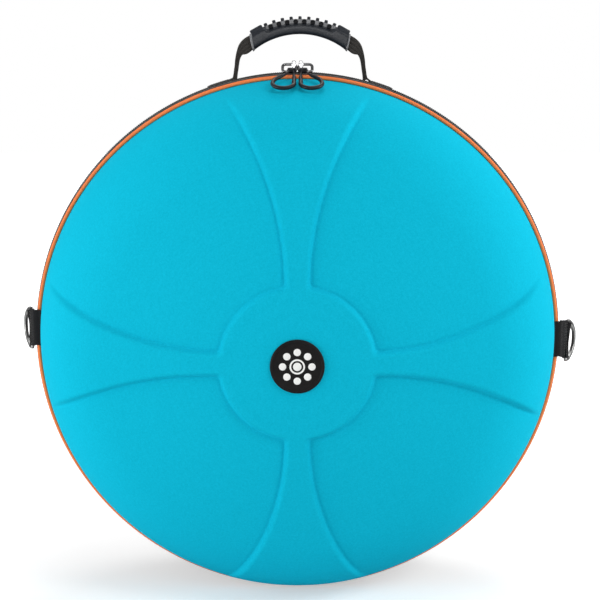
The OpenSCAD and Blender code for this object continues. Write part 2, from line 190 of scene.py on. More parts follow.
class Shape:
    """Vertices, in millimetres, and faces of one piece, gathered part by part."""

    def __init__(self):
        self.points = []
        self.faces = []
        self.count = 0

    def grid(self, points, wrap_u=False, wrap_v=False):
        """Quads over points[u, v], closed on themselves in the wrapped directions."""
        rows, cols = points.shape[:2]
        u, v = np.meshgrid(np.arange(rows if wrap_u else rows - 1),
                           np.arange(cols if wrap_v else cols - 1), indexing="ij")
        u_next, v_next = (u + 1) % rows, (v + 1) % cols
        quads = np.stack([u * cols + v, u_next * cols + v, u_next * cols + v_next, u * cols + v_next], -1)
        self.faces += (quads.reshape(-1, 4) + self.count).tolist()
        self.points.append(points.reshape(-1, 3))
        self.count += rows * cols
        return self

    def tube(self, rings):
        """A solid through closed rings, with one face over each end."""
        rings = np.asarray(rings, float)
        start, cols = self.count, rings.shape[1]
        self.grid(rings, wrap_v=True)
        last = self.count - cols
        self.faces += [[start + i for i in reversed(range(cols))], [last + i for i in range(cols)]]
        return self

    def turned(self, lines):
        """A solid round an axis, through lines[turn, v], with one face over each end of the lines."""
        start = self.count
        self.grid(lines, wrap_u=True)
        rows, cols = lines.shape[:2]
        self.faces += [[start + i * cols + end for i in range(rows)] for end in (0, cols - 1)]
        return self

    def piece(self, name, material, body, slot, replaces=(), sharp_deg=None):
        """Makes the Blender object, with its faces turned outward, riding on its body."""
        mesh = bpy.data.meshes.new(name)
        mesh.from_pydata((np.concatenate(self.points) * MM).tolist(), [], self.faces)
        bm = bmesh.new()
        bm.from_mesh(mesh)
        bmesh.ops.recalc_face_normals(bm, faces=bm.faces)
        bm.to_mesh(mesh)
        bm.free()
        mesh.polygons.foreach_set("use_smooth", [True] * len(mesh.polygons))
        if sharp_deg:
            mesh.set_sharp_from_angle(angle=math.radians(sharp_deg))
        mesh.materials.append(material)
        obj = placed(name, mesh)
        if body:
            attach(obj, body)
        if replaces:
            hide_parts(*replaces)
        return obj


def stacked(*axes):
    """Points from their coordinates, each an array or one number."""
    return np.stack(np.broadcast_arrays(*axes), -1)


def full_turn(count):
    """Angles once round, without the last, which would be the first again."""
    return np.linspace(0, 2 * math.pi, count, endpoint=False)


def round_case(r, angle, h):
    """Points round the case's axis, kept above the floor that the rim is pressed flat on."""
    return stacked(r * np.cos(angle), -h, np.maximum(CENTRE_Z + r * np.sin(angle), FLOOR_Z))


def circle(radius, count):
    turn = full_turn(count)
    return stacked(radius * np.cos(turn), radius * np.sin(turn))


def rounded_rect(width, height, corner, per_corner=4):
    """Outline of a rounded rectangle about the origin."""
    x, y = width / 2 - corner, height / 2 - corner
    corners = ((x, y), (-x, y), (-x, -y), (x, -y))
    return np.vstack([arc(centre, corner, 90 * i, 90 * i + 90, per_corner)
                      for i, centre in enumerate(corners)])


def arc(centre, radius, start_deg, end_deg, count):
    turn = np.radians(np.linspace(start_deg, end_deg, count))
    return stacked(centre[0] + radius * np.cos(turn), centre[1] + radius * np.sin(turn))


def curve_through(points, per_span=6):
    """Smooth curve through the points: a Catmull-Rom spline with its ends mirrored."""
    p = np.asarray(points, float)
    p = np.vstack([2 * p[0] - p[1], p, 2 * p[-1] - p[-2]])
    out = []
    for a, b, c, d in zip(p, p[1:], p[2:], p[3:]):
        for t in np.linspace(0, 1, per_span, endpoint=False):
            out.append(0.5 * (2 * b + (c - a) * t + (2 * a - 5 * b + 4 * c - d) * t * t
                              + (3 * b - a - 3 * c + d) * t ** 3))
    out.append(p[-2])
    return np.array(out)


def swept(path, section, across, closed=False):
    """Rings of a section carried along a path; the section's second axis stays along `across`."""
    path, section = np.asarray(path, float), np.asarray(section, float)
    if closed:
        tangent = np.roll(path, -1, 0) - np.roll(path, 1, 0)
    else:
        tangent = np.gradient(path, axis=0)
    tangent /= np.linalg.norm(tangent, axis=1)[:, None]
    side = np.cross(tangent, across)
    side /= np.linalg.norm(side, axis=1)[:, None]
    up = np.cross(side, tangent)
    return path[:, None] + section[..., :1] * side[:, None] + section[..., 1:] * up[:, None]


def soft_step(value, low, high):
    """Smooth rise from 0 at low to 1 at high."""
    t = np.clip((value - low) / (high - low), 0, 1)
    return t * t * (3 - 2 * t)


def stitches(places, length, width, lift):
    """Short raised threads: each place is (point, direction along, direction out)."""
    shape, thread = Shape(), circle(1, 6)
    for point, along, out in places:
        side = np.cross(along, out)
        rings = []
        for t in (-1, -0.7, 0, 0.7, 1):
            girth = width / 2 * math.sqrt(1 - (0.92 * t) ** 2)
            middle = point + along * t * length / 2 + out * (lift * (1 - t * t))
            rings.append(middle + girth * (thread[:, :1] * side + thread[:, 1:] * out))
        shape.tube(rings)
    return shape


# ---- Materials ----

class Look:
    """One procedural material, with short calls for the nodes that it uses."""

    def __init__(self, name, roughness, metallic=0.0, specular=0.5, sheen=0.0, sheen_rough=0.5):
        self.material = bpy.data.materials.new(name)
        self.material.use_nodes = True
        self.tree = self.material.node_tree
        self.bsdf = self.tree.nodes["Principled BSDF"]
        values = {"Roughness": roughness, "Metallic": metallic, "Specular IOR Level": specular,
                  "Sheen Weight": sheen, "Sheen Roughness": sheen_rough}
        for socket, value in values.items():
            self.bsdf.inputs[socket].default_value = value
        self.place = self.add("ShaderNodeTexCoord").outputs["Object"]

    def add(self, kind, inputs=None, **settings):
        node = self.tree.nodes.new(kind)
        for key, value in settings.items():
            setattr(node, key, value)
        for key, value in (inputs or {}).items():
            if isinstance(value, bpy.types.NodeSocket):
                self.tree.links.new(value, node.inputs[key])
            else:
                node.inputs[key].default_value = value
        return node

    def math(self, operation, a, b=0.0, c=0.0):
        return self.add("ShaderNodeMath", {0: a, 1: b, 2: c}, operation=operation).outputs[0]

    def axes(self):
        """The object coordinates' three axes, in millimetres."""
        xyz = self.add("ShaderNodeSeparateXYZ", {0: self.place})
        return [self.math("MULTIPLY", xyz.outputs[i], 1 / MM) for i in range(3)]

    def round_axes(self):
        """Arc length round the case's rim, distance from its axis, and place front to back."""
        x, y, z = self.axes()
        up = self.math("SUBTRACT", z, float(CENTRE_Z))
        arc_length = self.math("MULTIPLY", self.math("ARCTAN2", up, x), float(RIM_R))
        square = self.math("ADD", self.math("MULTIPLY", x, x), self.math("MULTIPLY", up, up))
        return arc_length, self.math("SQRT", square), y

    def ripple(self, value, pitch):
        """A wave from 0 to 1 that repeats every pitch millimetres."""
        wave = self.math("SINE", self.math("MULTIPLY", value, 2 * math.pi / pitch))
        return self.math("MULTIPLY_ADD", wave, 0.5, 0.5)

    def weave(self, u, v, pitch):
        """Plain weave: threads that pass over and under each other."""
        return self.math("ABSOLUTE", self.math("SUBTRACT", self.ripple(u, pitch), self.ripple(v, pitch)))

    def noise(self, size_mm, detail=3.0):
        inputs = {"Vector": self.place, "Scale": 1 / (size_mm * MM), "Detail": detail}
        return self.add("ShaderNodeTexNoise", inputs).outputs["Fac"]

    def colour(self, factor, dark, light):
        """Base colour that runs between two colours."""
        ramp = self.add("ShaderNodeValToRGB", {0: factor})
        for stop, place, tint in zip(ramp.color_ramp.elements, (0.25, 0.75), (dark, light)):
            stop.position, stop.color = place, (*tint, 1)
        self.tree.links.new(ramp.outputs["Color"], self.bsdf.inputs["Base Color"])

    def rough(self, factor, low, high):
        spread = self.add("ShaderNodeMapRange", {"Value": factor, "To Min": low, "To Max": high})
        self.tree.links.new(spread.outputs[0], self.bsdf.inputs["Roughness"])

    def bump(self, *layers):
        """Layers of (height, depth in millimetres, strength)."""
        normal = None
        for height, depth, strength in layers:
            inputs = {"Height": height, "Distance": depth * MM, "Strength": strength}
            if normal:
                inputs["Normal"] = normal
            normal = self.add("ShaderNodeBump", inputs).outputs["Normal"]
        self.tree.links.new(normal, self.bsdf.inputs["Normal"])

    def mixed(self, a, b, share=0.5):
        return self.math("MULTIPLY_ADD", self.math("SUBTRACT", b, a), share, a)


def cover_fabric(name, dark, light, sheen):
    """Knitted polyester skin, heat-pressed on foam: fine pits with a little mottling."""
    look = Look(name, 0.85, specular=0.02, sheen=sheen, sheen_rough=0.35)
    inputs = {"Vector": look.place, "Scale": 1 / (1.4 * MM), "Randomness": 0.7}
    knit = look.add("ShaderNodeTexVoronoi", inputs).outputs["Distance"]
    mottle = look.noise(2.2, 4.0)
    look.colour(look.mixed(mottle, knit, 0.35), dark, light)
    look.rough(knit, 0.78, 0.92)
    look.bump((knit, 0.12, 0.35), (mottle, 0.25, 0.15))
    return look.material


def ring_fabric(name, dark, light, pitch, sheen=0.3, specular=0.25):
    """Woven tape or piping cover whose threads follow the rim."""
    look = Look(name, 0.8, specular=specular, sheen=sheen, sheen_rough=0.4)
    along, distance, depth = look.round_axes()
    across = look.math("ADD", distance, depth)
    weave = look.weave(along, across, pitch)
    look.colour(look.mixed(look.noise(3.0), weave), dark, light)
    look.rough(weave, 0.7, 0.9)
    look.bump((weave, 0.25, 0.5), (look.noise(1.2), 0.1, 0.3))
    return look.material


def webbing_fabric(name, dark, light, length_axis, width_axis, specular):
    """Polypropylene webbing: ribs along its length, crossed by a fine weft."""
    look = Look(name, 0.62, specular=specular, sheen=specular / 2, sheen_rough=0.4)
    axes = look.axes()
    length, width = axes[length_axis], axes[width_axis]
    ribs = look.ripple(width, 2.1)
    weave = look.weave(length, width, 1.05)
    look.colour(look.mixed(look.noise(1.6), weave, 0.6), dark, light)
    look.rough(weave, 0.5, 0.75)
    look.bump((ribs, 0.25, 0.5), (weave, 0.3, 0.8), (look.noise(0.7), 0.08, 0.4))
    return look.material


def plush(name, dark, light, pile):
    """Short-pile velour lining."""
    look = Look(name, 0.95, specular=0.1, sheen=0.6, sheen_rough=0.55)
    fibres = look.noise(pile, 5.0)
    look.colour(look.mixed(fibres, look.noise(26), 0.4), dark, light)
    look.bump((fibres, 0.5, 0.7), (look.noise(9), 0.6, 0.3))
    return look.material


def grained(look, dark, light, grain, blotch, wear, low, high, depth, strength):
    """Fine grain over larger blotches, with a roughness that wanders between low and high."""
    fine = look.noise(grain, 4.0)
    look.colour(look.mixed(fine, look.noise(blotch)), dark, light)
    look.rough(look.noise(wear), low, high)
    look.bump((fine, depth, strength))
    return look.material


def rubber(name, dark, light, grain, specular, low, high):
    """Moulded rubber with a fine spark-eroded grain."""
    return grained(Look(name, 0.5, specular=specular), dark, light, grain, 8, 5, low, high, 0.08, 0.45)


def metal(name, dark, light, low, high, grain, depth):
    """Cast or plated metal with an uneven finish."""
    return grained(Look(name, 0.3, metallic=1.0), dark, light, grain, 4, 3, low, high, depth, 0.35)


def printed(name, dark, light):
    """Printed ink, faintly speckled."""
    look = Look(name, 0.55, specular=0.4)
    speck = look.noise(0.8)
    look.colour(speck, dark, light)
    look.rough(look.noise(2), 0.45, 0.65)
    look.bump((speck, 0.05, 0.4))
    return look.material


TURQUOISE = cover_fabric("turquoise_fabric", (0.0015, 0.385, 0.55), (0.006, 0.475, 0.655), 0.0)
REAR_FABRIC = cover_fabric("black_rear_fabric", (0.016, 0.016, 0.018), (0.042, 0.042, 0.046), 0.25)
ORANGE = ring_fabric("orange_piping_cover", (0.86, 0.19, 0.055), (0.98, 0.28, 0.095), 1.1, 0.0, 0.15)
BLACK_PIPING = ring_fabric("black_piping_cover", (0.02, 0.02, 0.02), (0.05, 0.05, 0.05), 1.1)
ZIP_TAPE = ring_fabric("zip_tape_weave", (0.040, 0.038, 0.036), (0.105, 0.102, 0.098), 1.3, 0.45)
GUSSET = ring_fabric("hinge_fabric", (0.024, 0.024, 0.025), (0.06, 0.06, 0.062), 1.6)
WEBBING_UP = webbing_fabric("webbing_handle", (0.020, 0.018, 0.016), (0.068, 0.062, 0.056), 2, 1, 0.2)
WEBBING_TAB = webbing_fabric("webbing_tab", (0.004, 0.004, 0.005), (0.014, 0.014, 0.015), 1, 2, 0.08)
LINING = plush("lining_velour", (0.022, 0.022, 0.024), (0.065, 0.065, 0.07), 0.8)
PADDING = plush("pad_velour", (0.06, 0.06, 0.064), (0.13, 0.13, 0.137), 0.9)
THREAD = ring_fabric("stitch_thread", (0.05, 0.05, 0.05), (0.13, 0.128, 0.12), 0.5)
NYLON = rubber("zip_nylon", (0.018, 0.018, 0.018), (0.04, 0.04, 0.04), 0.9, 0.5, 0.3, 0.5)
BADGE_RUBBER = rubber("badge_rubber", (0.006, 0.005, 0.005), (0.013, 0.012, 0.012), 0.7, 0.1, 0.45, 0.6)
BADGE_PRINT = printed("badge_print", (0.78, 0.78, 0.76), (0.9, 0.9, 0.88))
GRIP_RUBBER = rubber("grip_rubber", (0.008, 0.010, 0.014), (0.020, 0.023, 0.030), 0.6, 0.35, 0.24, 0.38)
# Paler rubber for the grip's upward-facing band and its end lips: a painted highlight
GRIP_PAINTED_HIGHLIGHT = rubber("grip_rubber_painted_highlight", (0.13, 0.133, 0.14), (0.22, 0.223, 0.232), 0.6, 0.5, 0.2, 0.35)
STUD_RUBBER = rubber("grip_stud_rubber", (0.004, 0.004, 0.005), (0.012, 0.012, 0.014), 0.6, 0.12, 0.35, 0.5)
PULL_RUBBER = rubber("pull_rubber", (0.004, 0.004, 0.006), (0.011, 0.011, 0.014), 0.5, 0.25, 0.28, 0.45)
GUNMETAL = metal("cast_gunmetal", (0.30, 0.30, 0.30), (0.48, 0.48, 0.47), 0.25, 0.4, 0.9, 0.06)
# Dark metal for the floor of the D-ring's sunk face: painted shade
GROOVE_PAINTED_SHADE = metal("groove_painted_shade", (0.035, 0.035, 0.036), (0.09, 0.09, 0.09), 0.4, 0.6, 0.9, 0.06)
SLIDER_BLACK = metal("slider_black_nickel", (0.05, 0.05, 0.052), (0.12, 0.12, 0.12), 0.22, 0.4, 0.8, 0.04)
# Wire-ring metal darkened to stand in for dark studio reflections: a painted reflection
WIRE_METAL_PAINTED_DARK = metal("ring_metal_painted_dark_reflection", (0.06, 0.06, 0.062), (0.26, 0.26, 0.265), 0.06, 0.14, 1.2, 0.03)
CHROME = metal("slider_chrome", (0.74, 0.74, 0.75), (0.86, 0.86, 0.87), 0.08, 0.2, 1.5, 0.02)


# ---- Shells ----

def dome_line(r1, h1, shoulder, crown, start_r, end_turn, count):
    """Points and outward normals (r, h) of a dome: a crown cap, then a shoulder arc to end_turn."""
    k = crown - h1 - shoulder
    c = (r1 * r1 - k * k) / (2 * k)
    cap_r = c + k + shoulder
    theta = math.atan2(r1, c)
    first = math.asin(start_r / cap_r)
    cap_length, shoulder_length = cap_r * (theta - first), shoulder * (end_turn - theta)
    run = np.linspace(0, cap_length + shoulder_length, count)
    on_cap = run <= cap_length
    turn = np.where(on_cap, first + run / cap_r, theta + (run - cap_length) / shoulder)
    normal = stacked(np.sin(turn), np.cos(turn))
    cap = np.array([0, h1 - c]) + cap_r * normal
    side = np.array([r1, h1]) + shoulder * normal
    return np.where(on_cap[:, None], cap, side), normal


def raised_share(x, y):
    """Share of the raised pattern's height at a point of the front view: a groove at its foot, a soft top."""
    depth = np.hypot(x, y) - DISC_R
    for quarter, flare_r in enumerate(ARM_FLARE_R):
        turn = quarter * math.pi / 2
        across = x * math.cos(turn) + y * math.sin(turn)
        outward = -x * math.sin(turn) + y * math.cos(turn)
        flare = np.clip(outward - DISC_R, 0, flare_r * 0.9)
        drop = np.sqrt(flare_r ** 2 - flare ** 2)
        arm = (np.abs(across) - (ARM_HALF_W + flare_r - drop)) / np.sqrt(1 + (flare / drop) ** 2)
        arm = np.where(outward > 0, arm, np.hypot(across, outward) + DISC_R)
        blend = np.clip(0.5 + 0.5 * (arm - depth) / PATTERN_FILLET, 0, 1)
        depth = arm * (1 - blend) + depth * blend - PATTERN_FILLET * blend * (1 - blend)
    climb = np.clip((PATTERN_FOOT - depth) / (PATTERN_FOOT - PATTERN_TOP), 0, 1)
    groove = GROOVE_SHARE * np.exp(-((depth - PATTERN_FOOT) / GROOVE_W) ** 2)
    return 1 - (1 - climb) ** 2.2 - groove


def shell_rings(line, normal, inside, emboss, fade, flange, side, count):
    """A shell's closed section at count angles: raised outside, flange, and the smooth inside."""
    angle = full_turn(count)[:, None]
    r, h = line.T
    share = raised_share(r * np.cos(angle), r * np.sin(angle)) * soft_step(h, *fade)
    outside = line + share[..., None] * emboss * normal
    rest = np.vstack([flange, inside[::-4]])
    section = np.hstack([outside, np.broadcast_to(rest, (count, *rest.shape))])
    return round_case(section[..., 0], angle, side * section[..., 1])


def front_shoulder(lean):
    """Centre (r, h) of the shoulder arc that meets the rim leaning inward by the given angle."""
    return FRONT_EDGE_R - FRONT_SHOULDER * math.cos(lean), PIPING_H - FRONT_SHOULDER * math.sin(lean)


def front_line(lean):
    """Points and outward normals of the front dome's section."""
    r1, h1 = front_shoulder(lean)
    end_turn = math.acos((FLANGE_H - h1) / FRONT_SHOULDER)
    return dome_line(r1, h1, FRONT_SHOULDER, FRONT_CROWN, 20, end_turn, 280)


def front_cover():
    """Moulded front half: turquoise skin over foam, with the raised disc and arms."""
    line, normal = front_line(SKIN_LEAN)
    inner, inner_normal = front_line(INSIDE_LEAN)
    flange = [[FLANGE_R - 0.3, FLANGE_H], [FLANGE_R, FLANGE_H - 0.3], [FLANGE_R, EDGE_H + 0.3],
              [FLANGE_R - 0.3, EDGE_H], [FRONT_EDGE_R - 2, EDGE_H]]
    rings = shell_rings(line, normal, inner - SHELL_T * inner_normal, EMBOSS, FRONT_FADE, flange, 1, 960)
    shape = Shape().grid(rings, wrap_u=True, wrap_v=True)
    shape.piece("front_cover", TURQUOISE, "lid", "front_cover", ["front_shell"])


def rear_cover():
    """Moulded rear half: black skin, flatter back, straight side wall, shallower raised pattern."""
    line, normal = dome_line(REAR_WALL_R - REAR_SHOULDER, REAR_WALL_H, REAR_SHOULDER, REAR_CROWN, 3,
                             math.pi / 2, 190)
    wall_h = np.linspace(REAR_WALL_H, PIPING_H + REAR_PIPE_R + 0.6, 12)[1:]
    line = np.vstack([line, stacked(REAR_WALL_R, wall_h)])
    normal = np.vstack([normal, np.tile([1.0, 0.0], (len(wall_h), 1))])
    groove_r = REAR_PIPE_RING - REAR_PIPE_R - 0.1
    flange = [[groove_r, PIPING_H + REAR_PIPE_R + 0.3], [groove_r, FLANGE_H + 0.3],
              [FLANGE_R, FLANGE_H], [FLANGE_R, EDGE_H], [REAR_WALL_R - REAR_SHELL_T, EDGE_H]]
    rings = shell_rings(line, normal, line - REAR_SHELL_T * normal, REAR_EMBOSS, REAR_FADE, flange, -1, 640)
    Shape().turned(rings).piece("rear_cover", REAR_FABRIC, "base", "rear_cover", ["rear_shell"])


# ---- Rim: piping, zip and hinge ----

def piping(name, ring_r, radius, h, material, body, node):
    """Cord in a bias-cut fabric cover: the cover gathers a little all round."""
    angles, around = full_turn(1080), full_turn(16)
    gather = 1 + 0.012 * np.sin(angles * 240)[:, None] * np.cos(around - 0.8)
    gather = gather + 0.008 * np.sin(angles * 37)[:, None]
    rings = round_case(ring_r + radius * gather * np.cos(around), angles[:, None],
                       h + radius * gather * np.sin(around))
    Shape().grid(rings, wrap_u=True, wrap_v=True).piece(name, material, body, node, [node])


def open_angles(count, short=0.0):
    """Angles round the rim that stop short of the hinge at the bottom."""
    half = HINGE_HALF + short
    return np.linspace(-TOP + half, 2 * math.pi - TOP - half, count)


def zip_tape(name, side, body, node):
    """Woven zip tape on the rim: a thicker hem beside the piping and a raised cord edge by the coil."""
    low, high = 0.7, FLANGE_H
    profile = np.array([[0, low], [0.95, low], [1.15, low + 0.35], [1.05, low + 1.6], [0.85, low + 2.6],
                        [0.8, 5.2], [0.85, 8.3], [1.15, 8.7], [1.7, high - 2.4], [1.7, high - 0.8],
                        [1.4, high], [0, high]])
    rings = round_case(TAPE_R + profile[:, 0], open_angles(900)[:, None], side * profile[:, 1])
    Shape().tube(rings).piece(name, ZIP_TAPE, body, "zip_tape", [node])


def tape_stitching(name, side, body):
    """Two rows of thread that sew the tape to the shell."""
    places = []
    for h, radius in ((9.4, TAPE_R + 1.32), (11.8, TAPE_R + 1.7)):
        for angle in open_angles(int(2 * math.pi * RIM_R / STITCH_PITCH), math.radians(0.5)):
            c, s = math.cos(angle), math.sin(angle)
            out, along = np.array([c, 0, s]), np.array([-s, 0, c])
            places.append((np.array([0, -side * h, CENTRE_Z]) + radius * out, along, out))
    stitches(places, 2.9, 0.55, 0.12).piece(name, THREAD, body, "zip_tape")


def zip_coil(name, side, phase, body, node):
    """Nylon coil: an oval helix whose heads reach between the other half's."""
    gap, per_turn = math.radians(1), 10
    arc_span = 2 * (math.pi - HINGE_HALF - gap)
    turns = int(COIL_R * arc_span / COIL_PITCH)
    t = np.arange(turns * per_turn) / per_turn + phase
    angle = -TOP + HINGE_HALF + gap + arc_span * t / (turns + 1)
    swing = 2 * math.pi * t
    centre = round_case(COIL_R + 0.72 * np.sin(swing), angle, side * (1.62 - 1.38 * np.cos(swing)))
    rings = swept(centre, circle(COIL_WIRE_R, 6), stacked(-np.sin(angle), 0, np.cos(angle)))
    Shape().tube(rings).piece(name, NYLON, body, "zip_coil", [node])


def hinge_gusset():
    """Fabric strip across the bottom between the halves."""
    angles = np.linspace(-TOP - HINGE_HALF + 0.01, -TOP + HINGE_HALF - 0.01, 90)
    h = np.linspace(-FLANGE_H, FLANGE_H - 0.4, 29)
    outer = TAPE_R + 1.35 + 0.25 * np.cos(h / FLANGE_H * math.pi * 3)
    r = np.hstack([outer, np.full(len(h), TAPE_R)])
    shape = Shape().tube(round_case(r, angles[:, None], np.hstack([h, h[::-1]])))
    strip = shape.piece("hinge_fabric", GUSSET, None, "zip_tape", ["hinge_gusset"])
    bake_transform(strip)


# ---- Badge ----

def lathe(profile, x, z, base_h, count):
    """Lines [turn, v] of a profile (radius, h) turned about an axis towards the front."""
    turn = full_turn(count)[:, None]
    radius, h = profile.T
    return stacked(x + radius * np.cos(turn), -(base_h + h), z + radius * np.sin(turn))


def badge():
    """Moulded rubber disc with a raised rim, and its plain tone-field motif."""
    top = FRONT_CROWN + EMBOSS
    lip = arc((27.2, 1.1), 1.5, 25, 155, 9)
    profile = np.vstack([[[0.5, -0.2], [28.6, -1.0], [29.0, -0.6], [29.0, 1.4]], lip,
                         [[25.6, 1.5], [25.2, 1.4], [12, 1.42], [0.5, 1.42]]])
    shape = Shape().turned(lathe(profile, 0, CENTRE_Z, top, 160))
    shape.piece("badge_disc", BADGE_RUBBER, "lid", "badge_rubber", ["badge_base"], sharp_deg=50)

    motif = Shape()
    low, high = 1.2, 1.9

    def dot(radius, x, z, count):
        section = [[0.3, low], [radius, low], [radius, high - 0.15], [radius - 0.2, high], [0.3, high]]
        motif.turned(lathe(np.array(section), x, z, top, count))

    dot(4.5, 0, CENTRE_Z, 48)
    ring = np.array([[6.4, low], [8.2, low], [8.2, high - 0.15], [8.05, high], [6.55, high],
                     [6.4, high - 0.15]])
    motif.grid(lathe(ring, 0, CENTRE_Z, top, 72), wrap_u=True, wrap_v=True)
    for x, z in circle(15.5, 8):
        dot(3.9, x, CENTRE_Z + z, 40)
    motif.piece("badge_motif", BADGE_PRINT, "lid", "badge_print", ["badge_emblem"], sharp_deg=40)


# ---- Handle ----

def in_grip(angle, radius, depth):
    """Point of the grip: angle from straight up, distance from the grip's centre, place front to back."""
    return stacked(HANDLE_X + radius * np.sin(angle), HANDLE_Y - depth, GRIP_Z + radius * np.cos(angle))


def grip_block(shape, middle_deg, half_w, low, high, depth, bevel, taper=0.0):
    """Rounded block on the grip's back: half_w along the grip, low and high as radii."""
    rings = []
    for radius, pull in ((low, 0.0), (high - bevel, taper), (high - bevel * 0.3, taper + bevel * 0.4),
                         (high, taper + bevel)):
        outline = rounded_rect(2 * (half_w - pull), depth - 2 * pull, 1.0, 3)
        rings.append(in_grip(math.radians(middle_deg) + outline[:, 0] / radius, radius, outline[:, 1]))
    shape.tube(rings)


def grip_end(radius):
    """Half angle of the grip's body, which is wider on its hollow side."""
    return np.radians(GRIP_HALF_DEG + GRIP_FLARE_DEG * (GRIP_OUT - radius) / (GRIP_OUT - GRIP_IN))


def grip_section(share):
    """Half outline (radius, place front to back) from the hollow side out: grooved and chamfered
    for a share of 0, plain and round-shouldered for a share of 1."""
    half = GRIP_DEPTH / 2
    hollow = np.vstack([[[GRIP_IN, 0], [GRIP_IN, 5]], arc((GRIP_IN + 4.5, half - 4.5), 4.5, 180, 90, 7),
                        [[GRIP_SEAM_R - 3, half]]])
    seam = GRIP_SEAM_R + np.array([-1.2, -0.5, -0.1, 0.3, 0.9])
    groove = half - np.array([0, 0.25, 0.9, 1.6, 1.4])
    chamfer = [[GRIP_SEAM_R + 2.6, half - 2.5], [GRIP_SEAM_R + 4.4, half - 3.9]]
    studded = np.vstack([stacked(seam, groove), chamfer, arc((GRIP_OUT - 1.6, half - 6.6), 1.6, 60, 0, 4)])
    shoulder = arc((GRIP_OUT - 5.5, half - 5.5), 5.5, 90, 0, len(studded) - 1)
    plain = np.vstack([[[GRIP_SEAM_R - 1.2, half]], shoulder])
    return np.vstack([hollow, studded * (1 - share) + plain * share, [[GRIP_OUT, 4.5], [GRIP_OUT, 0]]])


def grip_body():
    """Moulded grip: hollow underside, a chamfered band over a seam, and a lip at each end; the band and the
    lips take a paler rubber as a painted highlight.
    """
    runs = np.concatenate([[-1, -0.99, -0.97, -0.955], np.linspace(-0.94, 0.94, 80), [0.955, 0.97, 0.99, 1]])
    middle = (GRIP_IN + GRIP_OUT) / 2
    rings = []
    for run in runs:
        half_line = grip_section(soft_step(abs(run), 0.60, 0.70))
        line = np.vstack([half_line, half_line[-2:0:-1] * [1, -1]])
        lip = 1 + 0.055 * soft_step(abs(run), 0.955, 0.97)
        radius = middle + (line[:, 0] - middle) * lip
        rings.append(in_grip(run * grip_end(line[:, 0]), radius, line[:, 1] * lip))
    shape = Shape().tube(rings)
    grip = shape.piece("grip_body", GRIP_RUBBER, "handle", "grip_rubber", ["handle_grip"], sharp_deg=50)
    grip.data.materials.append(GRIP_PAINTED_HIGHLIGHT)
    count = len(line)
    # Painted highlight: the band faces on the chamfer and the end lips take the paler rubber
    highlight_band = range(len(half_line) - 8, len(half_line) - 2)
    for face in grip.data.polygons[:(len(runs) - 1) * count]:
        run, place = abs(runs[face.index // count]), face.index % count
        if run > 0.965 or (run < 0.66 and min(place, count - 1 - place) in highlight_band):
            face.material_index = 1


def grip_details():
    """Nine cross bars, a row of studs on each face, and a block at each end."""
    bars, studs, blocks = Shape(), Shape(), Shape()
    for i in range(-4, 5):
        grip_block(bars, i * GRIP_PITCH_DEG, 2.0, GRIP_OUT - 3, GRIP_OUT + 3.0, 18, 0.7, 0.15)
    bars.piece("grip_bars", GRIP_RUBBER, "handle", "grip_rubber", sharp_deg=40)
    stud = ((2.7, -6.0), (2.7, -0.3), (2.5, 0.15), (2.1, 0.3), (1.6, 0.05), (0.2, 0.0))
    ring = circle(1, 20)
    for i in range(8):
        angle = math.radians((i - 3.5) * GRIP_PITCH_DEG)
        c, s = math.cos(angle), math.sin(angle)
        across, up = np.array([c, 0, -s]), np.array([s, 0, c])
        for side in (-1, 1):
            centre = in_grip(angle, GRIP_OUT - 2.7, side * (GRIP_DEPTH / 2 - 0.5))
            studs.tube([centre + r * (ring[:, :1] * across + ring[:, 1:] * up) + [0, -side * lift, 0]
                        for r, lift in stud])
    studs.piece("grip_studs", STUD_RUBBER, "handle", "grip_rubber", sharp_deg=40)
    for side in (-1, 1):
        grip_block(blocks, side * 29.0, 7.5, GRIP_OUT - 4, GRIP_OUT + 3.4, 24, 1.0)
    blocks.piece("grip_end_blocks", GRIP_RUBBER, "handle", "grip_rubber", sharp_deg=40)


def strap_ribbon(shape, line, side):
    """Webbing along a line drawn in (distance outward from the handle's middle, height above centre)."""
    path = stacked(HANDLE_X + side * line[:, 0], HANDLE_Y, CENTRE_Z + line[:, 1])
    shape.tube(swept(path, rounded_rect(STRAP_T, STRAP_W, STRAP_T * 0.42), [0, 1, 0]))


def thick_fold(shape, outer, inner, side):
    """Layers of webbing lying on each other: a solid between two curves, notched where layers meet."""
    outer, inner = curve_through(outer, 4), curve_through(inner, 4)
    level = np.linspace(0, 1, 29)
    corner = np.clip((np.abs(level - 0.5) / 0.5 - 0.7) / 0.3, 0, 1)
    notch = sum(np.exp(-((level - share) / 0.03) ** 2) for share in (0.25, 0.5, 0.75))
    edge = STRAP_W / 2 - (1 - np.sqrt(1 - corner ** 2)) - 0.5 * notch
    across = np.linspace(1, -1, 6)[1:-1]
    share = np.concatenate([level, np.ones(4), level[::-1], np.zeros(4)])
    place = np.concatenate([edge, edge[-1] * across, -edge[::-1], -edge[0] * across])
    line = inner[:, None] + (outer - inner)[:, None] * share[:, None]
    shape.tube(stacked(HANDLE_X + side * line[..., 0], HANDLE_Y + place, CENTRE_Z + line[..., 1]))


